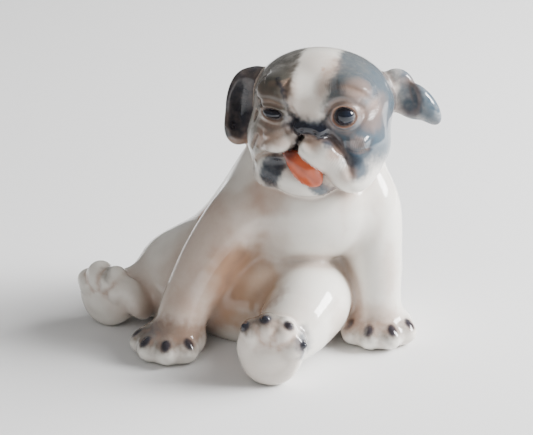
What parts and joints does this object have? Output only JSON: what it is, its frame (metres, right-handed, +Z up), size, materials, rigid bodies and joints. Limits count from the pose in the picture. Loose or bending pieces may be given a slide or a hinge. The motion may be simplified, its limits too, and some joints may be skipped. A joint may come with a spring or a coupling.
{
  "type": "ceramic dog figurine",
  "caption": "Seated glazed puppy figurine with a turned head, drooping ears, outstretched hind feet and its tongue out; hollow body with a flat underside.",
  "frame": {"origin": "middle of the figure's outline seen from above, on the surface that it rests on", "axes": "+Z up; the puppy faces -Y and its own left side is towards +X"},
  "size_m": [0.0852, 0.066, 0.0689],
  "materials": {
    "white_glaze": "clear gloss glaze over white porcelain, shaded pale pink and tan",
    "head_glaze": "clear gloss glaze over white porcelain with grey, tan and blue-black underglaze patches",
    "dark_ear_glaze": "clear gloss glaze over brushed green-black underglaze",
    "grey_ear_glaze": "clear gloss glaze over brushed blue-grey underglaze",
    "tongue_glaze": "clear gloss glaze over orange-red underglaze"
  },
  "bodies": {
    "root": {"torso": "white_glaze", "head": "head_glaze", "right_ear": "dark_ear_glaze", "left_ear": "grey_ear_glaze", "right_foreleg": "white_glaze", "left_foreleg": "white_glaze", "right_hind_leg": "white_glaze", "left_hind_leg": "white_glaze", "tail": "white_glaze", "tongue": "tongue_glaze"}
  },
  "joints": []
}
